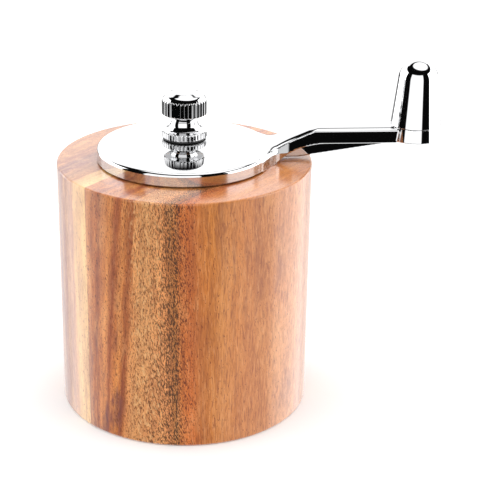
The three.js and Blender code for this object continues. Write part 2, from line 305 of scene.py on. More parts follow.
def surface(name, field, low, high, step):
    """The zero surface of a distance field: one point a cell, pulled on to the surface, with the field's own normals."""
    step = np.array(step)
    axes = [np.arange(l, h + d, d) for l, h, d in zip(low, high, step)]
    shape = tuple(len(a) for a in axes)
    vals = np.empty(shape)
    for i, xv in enumerate(axes[0]):
        g = np.empty(shape[1:] + (3,))
        g[..., 0] = xv
        g[..., 1] = axes[1][:, None]
        g[..., 2] = axes[2][None, :]
        vals[i] = field(g)
    inside = vals < 0
    cells = np.zeros(tuple(s - 1 for s in shape), int)
    corners = [(a, b, c) for a in (0, 1) for b in (0, 1) for c in (0, 1)]

    def corner(arr, o):
        return arr[
            o[0] : arr.shape[0] - 1 + o[0], o[1] : arr.shape[1] - 1 + o[1], o[2] : arr.shape[2] - 1 + o[2]
        ]

    for o in corners:
        cells += corner(inside, o)
    active = (cells > 0) & (cells < 8)
    ids = -np.ones(active.shape, int)
    where = np.argwhere(active)
    ids[tuple(where.T)] = np.arange(len(where))
    total = np.zeros((len(where), 3))
    weight = np.zeros(len(where))
    edges = [(a, b) for a in corners for b in corners if sum(b) - sum(a) == 1 and all(v >= u for u, v in zip(a, b))]
    for a, b in edges:
        va = vals[where[:, 0] + a[0], where[:, 1] + a[1], where[:, 2] + a[2]]
        vb = vals[where[:, 0] + b[0], where[:, 1] + b[1], where[:, 2] + b[2]]
        cross = (va < 0) != (vb < 0)
        t = np.where(cross, va / np.where(cross, va - vb, 1), 0)
        pt = np.array(a) + t[:, None] * (np.array(b) - np.array(a))
        total += np.where(cross[:, None], pt, 0)
        weight += cross
    p = (where + total / weight[:, None]) * step + np.array([a[0] for a in axes])

    def grad(q, e=0.002):
        g = np.empty_like(q)
        for k in range(3):
            d = np.zeros(3)
            d[k] = e
            g[:, k] = (field(q + d) - field(q - d)) / (2 * e)
        return g

    for _ in range(5):
        g = grad(p)
        n2 = np.maximum((g * g).sum(1), 1e-6)
        move = -(field(p) / n2)[:, None] * g
        size = np.linalg.norm(move, axis=1)
        move *= np.minimum(1, 0.5 * step.min() / np.maximum(size, 1e-9))[:, None]
        p = p + move
    g = grad(p)
    normals = g / np.maximum(np.linalg.norm(g, axis=1), 1e-9)[:, None]
    faces = []
    for k in range(3):
        u, v = (k + 1) % 3, (k + 2) % 3
        a = [slice(None)] * 3
        b = [slice(None)] * 3
        a[k], b[k] = slice(0, -1), slice(1, None)
        sa, sb = inside[tuple(a)], inside[tuple(b)]
        idx = np.argwhere(sa != sb)
        ok = (idx[:, u] > 0) & (idx[:, v] > 0) & (idx[:, u] < ids.shape[u]) & (idx[:, v] < ids.shape[v])
        idx = idx[ok]
        flip = sa[tuple(idx.T)]
        quad = []
        for du, dv in ((1, 1), (0, 1), (0, 0), (1, 0)):
            c = idx.copy()
            c[:, u] -= du
            c[:, v] -= dv
            quad.append(ids[tuple(c.T)])
        quad = np.stack(quad, 1)
        quad[~flip] = quad[~flip][:, ::-1]
        faces.append(quad)
    faces = np.concatenate(faces)
    return piece(name, p, faces.tolist(), normals=normals)


crank = surface("crank_fine", crank_field, (-28.2, -28.2, 78.675), (81.4, 28.2, 92.2), (0.5, 0.32, 0.25))


# ------------------------------------------------------------ wooden body
wood_pts = [
    (29, 0, 0.4), (40, 0, 0.55), (40, 80.4, 0.55), (22, 80.4, 0.35), (22, 43, 1.0), (18, 36.5, 1.0),
    (18, 33.6, 0.2), (22.5, 33.6), (22.5, 10.5, 0.2), (29, 10.5),
]
body = lathe("wooden_body_fine", wood_pts, seg=256, crease=50)
holes = []
for a in (90, 210, 330):
    t = math.radians(a)
    holes.append(post(1.75, 9.0, 21.5, 25.4 * math.cos(t), 25.4 * math.sin(t), 32))
combine(body, holes)
body.data.polygons.foreach_set("use_smooth", [True] * len(body.data.polygons))
body.data.set_sharp_from_angle(angle=math.radians(50))

# ------------------------------------------------------------- thumb nut
FLUTES = 36
NZ0, NTOP, NR = 87.83, 102.35, 7.05
band = [
    (0, 98.6), (2.65, 98.6), (2.65, NZ0), (6.6, NZ0, 0.1), (NR, NZ0 + 0.3, 0.15), (NR, 89.62, 0.18), (6.55, 89.95, 0.3),
    (5.35, 90.45, 1.2), (4.25, 91.9, 2.0), (4.0, 93.2, 2.0), (4.45, 94.75, 0.9), (6.4, 95.15, 0.3), (NR, 95.45, 0.18), (NR, 99.75, 0.2),
    (6.75, 100.15, 0.3), (5.9, 101.35, 1.6), (3.6, 102.2, 2.0), (0, NTOP),
]


def knurl(a, r, z):
    """Deep V flutes with narrow lands on the two gripping bands."""
    if r < 6.2 or (z > 89.97 and z < 95.13) or z > 100.25:
        return r
    w = (a * FLUTES / (2 * math.pi)) % 1.0
    d = abs(w - 0.5) * 2  # 1 on the land's middle, 0 in the flute's
    depth = 0.62 * max(0.0, 1.0 - d / 0.74) ** 0.8
    return min(r, NR - depth)


nut = lathe("thumb_nut_fine", band, seg=FLUTES * 16, steps=5, shape=knurl, crease=38)

# ------------------------------------------------------------------ knob
kr = lambda z: BOSS_R - TAPER * (z - ARM_BOT)
KZ0 = 91.38
BALL = 6.197
ZC = 111.7 - BALL
prof = [(0, 92.5), (5.4, 92.5, 0.1), (5.4, KZ0, 0.1), (kr(KZ0), KZ0, 0.08)]
tang = math.atan(TAPER)
for k in range(1, 25):
    z = KZ0 + (ZC + BALL * math.sin(tang) - KZ0) * k / 24
    prof.append((kr(z), z))
for k in range(1, 40):
    a = tang + (math.pi / 2 - tang) * k / 40
    prof.append((BALL * math.cos(a), ZC + BALL * math.sin(a)))
prof.append((0, 111.7))
knob = lathe("knob_fine", prof, seg=192, x=KX, crease=40)
combine(knob, [post(2.05, 90, 103, KX)])
knob.data.polygons.foreach_set("use_smooth", [True] * len(knob.data.polygons))
knob.data.set_sharp_from_angle(angle=math.radians(40))


# ------------------------------------------------------------- fasteners
def pan_screw(name, head_r, z0, z1, shank_r, tip, x, y, slot_half, turn, thread=0.0):
    """A pan-head screw, head down, with a cross recess."""
    pts = [
        (0, z0 + 0.02), (head_r * 0.55, z0 + 0.05, 0.8), (head_r * 0.9, z0 + 0.35, 0.6), (head_r, z1 - 0.3, 0.25),
        (head_r, z1, 0.1), (shank_r, z1, 0.1), (shank_r, tip - 1.9, 0.2), (0.2, tip, 0.1), (0, tip),
    ]
    ob = lathe(name, pts, seg=64, steps=4, crease=50)
    ob = combine(
        ob,
        [
            block(-slot_half, slot_half, -0.33, 0.33, z0 - 1, z0 + 1.0, turn=turn),
            block(-0.33, 0.33, -slot_half, slot_half, z0 - 1, z0 + 1.0, turn=turn),
        ],
    )
    soften(ob, 0.06, 2, 40)
    ob.data.transform(Matrix.Translation((x * MM, y * MM, 0)))
    return ob


screws = []
for k, (a, turn) in enumerate(((90, 12), (210, 57), (330, 31))):
    t = math.radians(a)
    screws.append(
        pan_screw(f"base_screw_{k + 1}_fine", 3.1, 6.2, 7.8, 1.6, 20.5, 25.4 * math.cos(t), 25.4 * math.sin(t), 1.8, turn)
    )
burr_screw = pan_screw("burr_screw_fine", 3.7, 6.5, 8.3, 1.6, 17.6, 0, 0, 2.2, 25)
knob_screw = lathe(
    "knob_screw_fine",
    [
        (0, 86.9), (3.5, 86.9, 0.2), (4.3, 87.5, 0.3), (4.3, 88.25, 0.1), (2.4, 88.25, 0.1), (2.4, 92.35, 0.1),
        (1.9, 92.45), (1.9, 101.8, 0.3), (0, 102.2),
    ],
    seg=64, x=KX, crease=45,
)
combine(knob_screw, [block(-5, 5, -0.42, 0.42, 86, 87.65, turn=34, x=KX)])
soften(knob_screw, 0.06, 2, 40)

# ---------------------------------------------------------------- burrs
N_FINE = 48
N_FEED = 6


def inner_r(z):
    return 15.75 - (z - 9.4) * 2.2 / 5.6 if z < 15 else 13.2 - (z - 15) * 5.2 / 10


def inner_shape(a, r, z):
    if r < 6:
        return r
    if z < 15.2:
        w = (a * N_FINE / (2 * math.pi) - (z - 9.4) * 0.16) % 1.0
        tooth = 0.42 * (1 - w) if w > 0.16 else 0.42 * (0.84 * w / 0.16)
        return r - tooth
    w = (a * N_FEED / (2 * math.pi) - (z - 15.2) * 0.085) % 1.0
    ramp = w / 0.86 if w < 0.86 else (1 - w) / 0.14
    deep = min(2.1, 0.45 + (z - 15.2) * 0.4)
    return r - deep * (1 - ramp)


levels = [9.4, 9.7] + list(np.arange(10.2, 25.0, 0.45)) + [25.1]
pts = [(3.9, 9.4)] + [(inner_r(z) - (0.25 if z in (9.4,) else 0), z) for z in levels] + [(3.9, 25.1)]
inner = lathe("inner_burr_fine", pts, seg=480, shape=inner_shape, crease=28, edge=5)
sq = 2.65
cut = block(-sq, sq, -sq, sq, 9, 26)
plug = post(4.4, 9.4, 25.1, 0, 0, 64)
combine(plug, [cut])
combine(inner, [plug], "UNION")
inner.data.polygons.foreach_set("use_smooth", [True] * len(inner.data.polygons))
inner.data.set_sharp_from_angle(angle=math.radians(28))


def outer_r(z):
    return 16.35 - (z - 9.3) * 2.15 / 5.7 if z < 15 else 14.2 + (z - 15) * 1.9 / 13


def outer_shape(a, r, z):
    if r > 17:
        return r
    if z < 15.2:
        w = (a * N_FINE / (2 * math.pi) + (z - 9.4) * 0.12) % 1.0
        return r + 0.38 * (w if w < 0.85 else (1 - w) / 0.15 * 0.85)
    w = (a * 24 / (2 * math.pi) + (z - 15.2) * 0.05) % 1.0
    return r + 0.95 * (w if w < 0.8 else (1 - w) / 0.2 * 0.8)


zs = [9.3] + list(np.arange(9.9, 27.6, 0.6)) + [28.0]
pts = [(outer_r(zs[0]), zs[0]), (18, 9.3, 0.3), (18, 28, 0.3)] + [(outer_r(z), z) for z in zs[::-1]][:-1]
outer = lathe("outer_burr_fine", pts, seg=480, shape=outer_shape, crease=28, edge=5)
combine(outer, [block(0, 2.2, -1.9, 1.9, 9.3, 16.9, turn=a, r=17.4) for a in (30, 150, 270)], "UNION")
outer.data.polygons.foreach_set("use_smooth", [True] * len(outer.data.polygons))
outer.data.set_sharp_from_angle(angle=math.radians(28))

# ------------------------------------------------- carrier, plate and bridge
carrier = lathe(
    "burr_carrier_fine",
    [
        (18.15, 9.2, 0.2), (28.3, 9.2, 0.4), (28.3, 10.4, 0.2), (22.25, 10.4, 0.4), (22.25, 31, 0.5), (16.6, 31, 0.5),
        (16.6, 28.15, 0.1), (18.15, 28.15),
    ],
    seg=192,
)
cuts = []
for a in (90, 210, 330):
    t = math.radians(a)
    cuts.append(post(2.05, 8, 12, 25.4 * math.cos(t), 25.4 * math.sin(t)))
cuts += [block(0, 2.4, -2.15, 2.15, 8, 17.2, turn=a, r=17.5) for a in (30, 150, 270)]
cuts += [block(0, 5, -2.15, 2.15, 29.4, 32, turn=a, r=15) for a in (60, 240)]
combine(carrier, cuts)
soften(carrier, 0.12, 2, 50)

retain = lathe("retaining_plate_fine", [(16.9, 7.9, 0.25), (28.2, 7.9, 0.35), (28.2, 9.1, 0.15), (16.9, 9.1, 0.15)], seg=192)
cuts = []
for a in (90, 210, 330):
    t = math.radians(a)
    cuts.append(post(2.05, 7, 10, 25.4 * math.cos(t), 25.4 * math.sin(t)))
combine(retain, cuts)
soften(retain, 0.1, 2, 50)

bridge = lathe("bearing_bridge_fine", [(17.2, 31.1, 0.3), (22.2, 31.1, 0.3), (22.2, 33.4, 0.5), (17.2, 33.4, 0.5)], seg=160)
hub = lathe("hub", [(5.2, 31.1), (7, 31.1, 0.3), (7, 38, 0.5), (5.2, 38, 0.2)], seg=96)
arms = [block(0, 12.4, -2.2, 2.2, 31.1, 33.4, turn=a, r=6) for a in (30, 150, 270)]
lugs = [block(0, 2.4, -1.9, 1.9, 29.7, 32, turn=a, r=17.4) for a in (60, 240)]
combine(bridge, [hub] + arms + lugs, "UNION")
soften(bridge, 0.3, 3, 40)

bush = lathe(
    "bearing_bush_fine",
    [(3.6, 31.3, 0.2), (5.05, 31.3, 0.3), (5.05, 38.1, 0.1), (6.3, 38.1, 0.15), (6.3, 39.1, 0.3), (3.6, 39.1, 0.3)],
    seg=96,
)

# ----------------------------------------------------- spindle and its trim
rod = lathe(
    "spindle_fine",
    [
        (0, 9.8), (3.5, 9.8, 0.3), (3.5, 40.8, 0.1), (2.8, 40.8, 0.15), (2.8, 41.8, 0.15), (3.5, 41.8, 0.1), (3.5, 86.7, 0.1),
        (2.5, 87.1, 0.1), (2.5, 97.1, 0.1), (2.0, 97.6, 0.1), (0, 97.6),
    ],
    seg=96,
)
h = 2.5
cuts = []
for z0, z1 in ((9, 25.2), (78.2, 87.3)):
    for a in (0, 90, 180, 270):
        cuts.append(block(h, 6, -6, 6, z0, z1, turn=a))
cuts.append(post(1.75, 9, 18.5, 0, 0, 32))
combine(rod, cuts)
soften(rod, 0.08, 2, 40)

clip_pts = []
for k in range(61):
    a = math.radians(18 + 324 * k / 60)
    clip_pts.append((5.6 * math.cos(a), 5.6 * math.sin(a)))
inner_pts = []
for k in range(121):
    d = 342 - 324 * k / 120
    a = math.radians(d)
    near = min(abs((d - c + 180) % 360 - 180) for c in (36, 180, 324))
    rr = 2.95 if near < 17 else min(4.3, 2.95 + (near - 17) * 0.16)
    inner_pts.append((rr * math.cos(a), rr * math.sin(a)))
clip = plate_of("retaining_clip_fine", clip_pts + inner_pts, 40.9, 41.7)
clip.data.transform(Matrix.Translation((-AX, 0, 0)))
clip.data.transform(Matrix.Rotation(math.radians(35), 4, "Z"))
clip.data.transform(Matrix.Translation((AX, 0, 0)))
soften(clip, 0.08, 2, 40)


def washer(name, r0, r1, z0, z1, edge=0.12, x=0.0, seg=96):
    return lathe(name, [(r0, z0, edge), (r1, z0, edge), (r1, z1, edge), (r0, z1, edge)], seg=seg, x=x)


thrust = washer("thrust_washer_fine", 3.8, 6.4, 25.3, 26.15)
burr_washer = washer("burr_washer_fine", 1.9, 6.2, 8.4, 9.3)
nut_washer = washer("nut_washer_fine", 2.8, 6.7, 87.45, 87.78, 0.05)
knob_washer = washer("knob_washer_fine", 2.75, 5.1, 91.4, 92.4, x=KX)
knob_bush = washer("knob_bush_fine", 2.55, 3.15, 88.5, 91.25, x=KX)
glide = lathe(
    "glide_ring_fine",
    [(20.4, 75.5, 0.3), (21.75, 75.5, 0.4), (21.75, 80.5, 0.2), (25, 80.5, 0.3), (25, 82.5, 0.3), (20.4, 82.5, 0.3)],
    seg=192,
)
drive = lathe("drive_bush_fine", [(2.0, 79.3, 0.1), (5.3, 79.3, 0.3), (5.3, 85.85, 0.2), (2.0, 85.85, 0.1)], seg=96)
combine(drive, [block(-sq, sq, -sq, sq, 79, 87)])
soften(drive, 0.08, 2, 40)

# spring: round wire
sections = []
turns, steps = 2.75, 150
for i in range(steps + 1):
    t = i / steps
    a = t * turns * 2 * math.pi
    z = 26.84 + (30.36 - 26.84) * t
    c = np.array([4.7 * math.cos(a), 4.7 * math.sin(a), z])
    out = np.array([math.cos(a), math.sin(a), 0])
    sections.append(
        [tuple(c + 0.5 * (math.cos(b) * out + math.sin(b) * np.array([0, 0, 1]))) for b in np.linspace(0, 2 * math.pi, 13)[:-1]]
    )
spring = loft("burr_spring_fine", sections)

RIDES = {
    "crank": (crank, "crank", "chrome"),
    "wooden_body": (body, "body", "wood"),
    "thumb_nut": (nut, "thumb_nut", "chrome"),
    "knob": (knob, "knob", "chrome"),
    "base_screw_1": (screws[0], "body", "plated_steel"),
    "base_screw_2": (screws[1], "body", "plated_steel"),
    "base_screw_3": (screws[2], "body", "plated_steel"),
    "burr_screw": (burr_screw, "spindle", "plated_steel"),
    "knob_screw": (knob_screw, "knob", "plated_steel"),
    "inner_burr": (inner, "spindle", "burr_steel"),
    "outer_burr": (outer, "body", "burr_steel"),
    "burr_carrier": (carrier, "body", "cast_zinc"),
    "retaining_plate": (retain, "body", "plated_steel"),
    "bearing_bridge": (bridge, "body", "cast_zinc"),
    "bearing_bush": (bush, "body", "bronze"),
    "spindle": (rod, "spindle", "plated_steel"),
    "retaining_clip": (clip, "spindle", "spring_steel"),
    "thrust_washer": (thrust, "burr_lift", "plated_steel"),
    "burr_washer": (burr_washer, "spindle", "plated_steel"),
    "nut_washer": (nut_washer, "crank", "black_nylon"),
    "knob_washer": (knob_washer, "crank", "black_nylon"),
    "knob_bush": (knob_bush, "crank", "white_nylon"),
    "glide_ring": (glide, "lid_ring", "black_nylon"),
    "drive_bush": (drive, "crank", "plated_steel"),
    "burr_spring": (spring, "body", "spring_steel"),
}


# ------------------------------------------------------------- materials
def tree(name):
    m = bpy.data.materials.new(name)
    m.use_nodes = True
    nt = m.node_tree
    return m, nt, nt.nodes["Principled BSDF"]


class Net:
    """Short names for the nodes used below."""

    def __init__(self, nt):
        self.nt = nt

    def add(self, kind, **sets):
        n = self.nt.nodes.new(kind)
        for k, v in sets.items():
            setattr(n, k, v)
        return n

    def link(self, a, b):
        self.nt.links.new(a, b)

    def math(self, op, a, b=None, clamp=False):
        n = self.add("ShaderNodeMath", operation=op)
        n.use_clamp = clamp
        for i, v in enumerate((a, b)):
            if v is None:
                continue
            if isinstance(v, (int, float)):
                n.inputs[i].default_value = v
            else:
                self.link(v, n.inputs[i])
        return n.outputs[0]

    def coords(self, scale=(1, 1, 1), move=(0, 0, 0), turn=(0, 0, 0), source=None):
        if source is None:
            source = self.add("ShaderNodeTexCoord").outputs["Object"]
        n = self.add("ShaderNodeMapping")
        n.inputs["Location"].default_value = move
        n.inputs["Rotation"].default_value = turn
        n.inputs["Scale"].default_value = scale
        self.link(source, n.inputs["Vector"])
        return n.outputs["Vector"]

    def noise(self, vec, scale, detail=3, rough=0.5, distort=0.0, lac=2.0):
        n = self.add("ShaderNodeTexNoise")
        n.inputs["Scale"].default_value = scale
        n.inputs["Detail"].default_value = detail
        n.inputs["Roughness"].default_value = rough
        n.inputs["Lacunarity"].default_value = lac
        n.inputs["Distortion"].default_value = distort
        self.link(vec, n.inputs["Vector"])
        return n.outputs[0]

    def ramp(self, fac, stops, mode="LINEAR"):
        n = self.add("ShaderNodeValToRGB")
        r = n.color_ramp
        r.interpolation = mode
        while len(r.elements) > 1:
            r.elements.remove(r.elements[-1])
        for i, (pos, col) in enumerate(stops):
            e = r.elements[0] if i == 0 else r.elements.new(pos)
            e.position = pos
            c = col if isinstance(col, (tuple, list)) else (col, col, col)
            e.color = (*c, 1)
        self.link(fac, n.inputs[0])
        return n.outputs[0]

    def mix(self, fac, a, b, mode="MIX"):
        n = self.add("ShaderNodeMix", data_type="RGBA", blend_type=mode)
        n.clamp_factor = True
        for i, v in ((0, fac), (6, a), (7, b)):
            if isinstance(v, (int, float)):
                n.inputs[i].default_value = v
            elif isinstance(v, tuple):
                n.inputs[i].default_value = (*v, 1)
            else:
                self.link(v, n.inputs[i])
        return n.outputs[2]

    def remap(self, v, a, b, c, d, smooth=False):
        n = self.add("ShaderNodeMapRange")
        n.interpolation_type = "SMOOTHSTEP" if smooth else "LINEAR"
        for i, x in enumerate((v, a, b, c, d)):
            if isinstance(x, (int, float)):
                n.inputs[i].default_value = x
            else:
                self.link(x, n.inputs[i])
        return n.outputs[0]

    def bump(self, height, strength, distance):
        n = self.add("ShaderNodeBump")
        n.inputs["Strength"].default_value = strength
        n.inputs["Distance"].default_value = distance
        self.link(height, n.inputs["Height"])
        return n.outputs[0]


def srgb(r, g, b):
    f = lambda c: c / 12.92 if c <= 0.04045 else ((c + 0.055) / 1.055) ** 2.4
    return tuple(f(c / 255) for c in (r, g, b))


def metal(name, color, rough, spread=0.02, scale=900, grain=(1, 1, 1), bump=0.0, bump_scale=2000):
    m, nt, bsdf = tree(name)
    n = Net(nt)
    bsdf.inputs["Metallic"].default_value = 1.0
    vec = n.coords(grain)
    f = n.noise(vec, scale, 4, 0.6)
    col = n.ramp(f, [(0.25, tuple(c * 0.93 for c in color)), (0.75, color)])
    n.link(col, bsdf.inputs["Base Color"])
    n.link(n.remap(f, 0.3, 0.7, rough - spread, rough + spread), bsdf.inputs["Roughness"])
    if bump:
        g = n.noise(vec, bump_scale, 2, 0.5)
        n.link(n.bump(g, bump, 0.0001), bsdf.inputs["Normal"])
    return m


def plastic(name, color, rough, bump=0.15):
    m, nt, bsdf = tree(name)
    n = Net(nt)
    vec = n.coords()
    f = n.noise(vec, 420, 3, 0.5)
    n.link(n.ramp(f, [(0.3, tuple(c * 0.9 for c in color)), (0.7, color)]), bsdf.inputs["Base Color"])
    n.link(n.remap(f, 0.3, 0.7, rough - 0.06, rough + 0.06), bsdf.inputs["Roughness"])
    n.link(n.bump(n.noise(vec, 5200, 2, 0.5), bump, 0.00005), bsdf.inputs["Normal"])
    return m


def chrome_material():
    """Mirror plating: almost flat, with a trace of polish haze and hairline marks."""
    m, nt, bsdf = tree("polished_plating")
    n = Net(nt)
    bsdf.inputs["Metallic"].default_value = 1.0
    vec = n.coords()
    haze = n.noise(vec, 95, 3, 0.5)
    n.link(n.ramp(haze, [(0.3, (0.6, 0.603, 0.61)), (0.7, (0.64, 0.64, 0.645))]), bsdf.inputs["Base Color"])
    fine = n.noise(n.coords((1, 6, 1)), 2600, 2, 0.5)
    rough = n.math("ADD", n.remap(haze, 0.35, 0.7, 0.018, 0.034), n.remap(fine, 0.45, 0.75, 0.0, 0.012))
    n.link(rough, bsdf.inputs["Roughness"])
    return m


def wood_material():
    """Laminated acacia: staves glued side by side, each with its own colour, figure and pores, under satin lacquer."""
    m, nt, bsdf = tree("laminated_acacia")
    n = Net(nt)
    base = n.add("ShaderNodeTexCoord").outputs["Object"]
    # millimetres from the spindle's axis
    mm = n.coords((1000, 1000, 1000), (-AX * 1000, 0, 0), source=base)
    sep = n.add("ShaderNodeSeparateXYZ")
    n.link(mm, sep.inputs[0])
    X, Y, Z = sep.outputs
    a = math.radians(52.3)
    # u runs across the staves, v along them in plan
    u = n.math("SUBTRACT", n.math("MULTIPLY", X, math.sin(a)), n.math("MULTIPLY", Y, math.cos(a)))
    v = n.math("ADD", n.math("MULTIPLY", X, math.cos(a)), n.math("MULTIPLY", Y, math.sin(a)))
    t = n.remap(u, -40, 40, 0, 1)
    P = lambda x: (x + 40) / 80

    def frame3(a_, b_, c_):
        q = n.add("ShaderNodeCombineXYZ")
        for k, w in enumerate((a_, b_, c_)):
            n.link(w, q.inputs[k])
        return q.outputs[0]

    def field(src, scale, move, detail=3, rough=0.5, distort=0.0):
        return n.noise(n.coords(scale, move, source=src), 1.0, detail, rough, distort)

    straight = frame3(u, v, Z)
    # the grain leans a little, more in some staves than in others
    lean = n.ramp(t, [(0, 0.3), (P(-8.2), 0.3), (P(1), 0.95), (P(9), 0.95), (P(18), 0.12), (P(26), 0.25), (1, 0.3)])
    zc = n.math("SUBTRACT", Z, 40.0)
    shift = n.math("MULTIPLY", zc, n.math("MULTIPLY", n.math("SUBTRACT", lean, 0.3), -0.115))
    slow = n.remap(field(straight, (0.05, 0.02, 0.032), (5.2, 1.1, 0.4), 2), 0.25, 0.75, -1.0, 1.0)
    quick = n.remap(field(straight, (0.22, 0.05, 0.13), (2.2, 8.1, 3.4), 3, 0.55), 0.25, 0.75, -1.0, 1.0)
    uw = n.math("ADD", u, shift)
    uw = n.math("ADD", uw, n.math("MULTIPLY", slow, 0.6))
    uw = n.math("ADD", uw, n.math("MULTIPLY", quick, 0.16))
    grain = frame3(uw, v, Z)
    tw = n.remap(uw, -40, 40, 0, 1)
    # two staves meet at u = -8.3, another pair at -31
    left = n.ramp(
        tw,
        [
            (0.0, srgb(169, 107, 64)),
            (P(-31), srgb(166, 105, 74)),
            (P(-27), srgb(176, 115, 87)),
            (P(-25.2), srgb(134, 90, 87)),
            (P(-23), srgb(143, 92, 85)),
            (P(-21), srgb(153, 101, 85)),
            (P(-19.6), srgb(165, 116, 85)),
            (P(-16.4), srgb(171, 112, 70)),
            (P(-15.4), srgb(164, 101, 59)),
            (P(-14.6), srgb(185, 129, 78)),
            (P(-13.6), srgb(217, 169, 105)),
            (P(-9.5), srgb(239, 194, 128)),
            (P(-6), srgb(239, 191, 120)),
        ],
    )
    right = n.ramp(
        tw,
        [
            (P(-12), srgb(172, 101, 47)),
            (P(-7), srgb(196, 122, 65)),
            (P(-4.6), srgb(188, 104, 51)),
            (P(-3.8), srgb(158, 83, 49)),
            (P(-2.8), srgb(204, 123, 67)),
            (P(-0.5), srgb(227, 146, 77)),
            (P(0.8), srgb(190, 105, 56)),
            (P(1.6), srgb(160, 82, 48)),
            (P(2.6), srgb(200, 111, 54)),
            (P(4.4), srgb(239, 154, 76)),
            (P(5.4), srgb(210, 125, 59)),
            (P(6.3), srgb(160, 80, 36)),
            (P(7.3), srgb(174, 91, 42)),
            (P(8.4), srgb(238, 157, 88)),
            (P(11), srgb(216, 150, 89)),
            (P(16), srgb(227, 152, 89)),
            (P(18.2), srgb(255, 170, 99)),
            (P(19.4), srgb(219, 137, 74)),
            (P(20.8), srgb(197, 124, 59)),
            (P(21.8), srgb(224, 132, 57)),
            (P(22.8), srgb(214, 119, 50)),
            (P(25), srgb(218, 115, 45)),
            (P(27.5), srgb(209, 123, 51)),
            (P(32), srgb(211, 133, 58)),
            (P(34.6), srgb(210, 129, 58)),
            (P(36), srgb(207, 128, 64)),
            (P(38.5), srgb(196, 123, 65)),
            (1.0, srgb(201, 127, 69)),
        ],
    )
    join = n.remap(u, -8.33, -8.27, 0, 1)
    col = n.mix(join, left, right)
    far = n.remap(u, -31.03, -30.97, 1, 0)
    col = n.mix(far, col, n.mix(field(grain, (0.3, 0.02, 0.01), (1, 2, 3), 3), srgb(168, 102, 64), srgb(206, 146, 96)))
    glue = n.math("MULTIPLY", n.remap(n.math("ABSOLUTE", n.math("ADD", u, 8.3)), 0.06, 0.2, 1, 0), 0.35)
    glue2 = n.math("MULTIPLY", n.remap(n.math("ABSOLUTE", n.math("ADD", u, 31.0)), 0.06, 0.2, 1, 0), 0.45)
    col = n.mix(n.math("MAXIMUM", glue, glue2), col, srgb(96, 56, 36))
    # broad figure, then growth-ring lines, then fibre
    broad = field(grain, (0.16, 0.03, 0.012), (4, 7, 1), 3, 0.5)
    col = n.mix(n.remap(broad, 0.42, 0.7, 0.0, 0.4), col, srgb(150, 84, 50))
    col = n.mix(n.remap(broad, 0.25, 0.45, 0.3, 0.0), col, srgb(214, 156, 98))
    rings = field(grain, (0.9, 0.05, 0.035), (3, 5, 9), 4, 0.62)
    col = n.mix(n.remap(rings, 0.5, 0.72, 0.0, 0.5), col, srgb(128, 68, 44))
    col = n.mix(n.remap(rings, 0.3, 0.46, 0.35, 0.0), col, srgb(222, 160, 102))
    fibre = field(grain, (4.2, 0.9, 0.26), (8, 1, 2), 4, 0.65)
    col = n.mix(n.remap(fibre, 0.5, 0.7, 0.0, 0.5), col, srgb(112, 58, 34))
    col = n.mix(n.remap(fibre, 0.3, 0.47, 0.4, 0.0), col, srgb(228, 168, 112))
    # cloudy patches that come and go along the length
    cloud = field(grain, (0.4, 0.2, 0.07), (2.5, 6.5, 8.2), 3, 0.5)
    calm = n.remap(u, 20, 28, 1.0, 0.45, True)
    col = n.mix(n.math("MULTIPLY", n.remap(cloud, 0.5, 0.72, 0.0, 0.34), calm), col, srgb(138, 70, 46))
    col = n.mix(n.math("MULTIPLY", n.remap(cloud, 0.28, 0.48, 0.34, 0.0), calm), col, srgb(236, 174, 112))
    # long fine dashes
    dash = field(grain, (3.2, 1.6, 0.2), (9, 4, 3), 2, 0.55)
    where2 = n.remap(u, 20, 27, 0.0, 1.0, True)
    col = n.mix(n.math("MULTIPLY", n.remap(dash, 0.58, 0.66, 0.0, 0.55), where2), col, srgb(132, 62, 34))
    # purple-brown bloom low on the second stave
    bloom = field(grain, (0.28, 0.1, 0.075), (1.5, 3.5, 6.2), 3, 0.6)
    where = n.math("MULTIPLY", n.remap(u, -8.3, -6.5, 0, 1, True), n.remap(u, 3, 8, 1, 0, True))
    where = n.math("MULTIPLY", where, n.remap(Z, 6, 62, 1, 0.25, True))
    col = n.mix(n.math("MULTIPLY", n.remap(bloom, 0.46, 0.62, 0.0, 0.9), where), col, srgb(116, 66, 62))
    # pores: short dark dashes up the grain, crowded in some bands
    crowd = n.ramp(
        t,
        [
            (0, 0.55), (P(-24), 0.5), (P(-14), 0.42), (P(-8.4), 0.42), (P(-8.2), 0.5), (P(4), 0.6), (P(9), 0.72), (P(16), 0.78),
            (P(18.5), 0.95), (P(21.6), 1.0), (P(23), 0.85), (P(25.5), 0.6), (P(27), 0.34), (P(34), 0.3), (1, 0.34),
        ],
    )
    tilt = n.math("ADD", uw, n.math("MULTIPLY", Z, 0.16))
    slanted = frame3(tilt, v, Z)
    dots = field(slanted, (3.1, 2.6, 0.8), (2, 3, 4), 1, 0.5, 0.2)
    fine = field(slanted, (4.6, 4.2, 1.6), (6, 1, 5), 1, 0.5, 0.2)
    edge = n.remap(crowd, 0, 1, 0.76, 0.49)
    pore = n.remap(n.math("SUBTRACT", dots, edge), 0.0, 0.055, 0.0, 1.0)
    pore2 = n.remap(n.math("SUBTRACT", fine, n.math("ADD", edge, 0.02)), 0.0, 0.06, 0.0, 1.0)
    pore = n.math("MAXIMUM", pore, n.math("MULTIPLY", pore2, 0.8))
    dark = n.ramp(t, [(0, srgb(120, 72, 44)), (P(-8.4), srgb(136, 84, 46)), (P(-8.2), srgb(104, 54, 34)), (P(8), srgb(126, 68, 34)),
                      (P(18), srgb(84, 50, 28)), (P(21.8), srgb(56, 38, 24)), (P(22.6), srgb(96, 42, 22)), (P(27), srgb(120, 56, 28)), (1, srgb(132, 70, 40))])
    col = n.mix(n.math("MULTIPLY", pore, 0.9), col, dark)
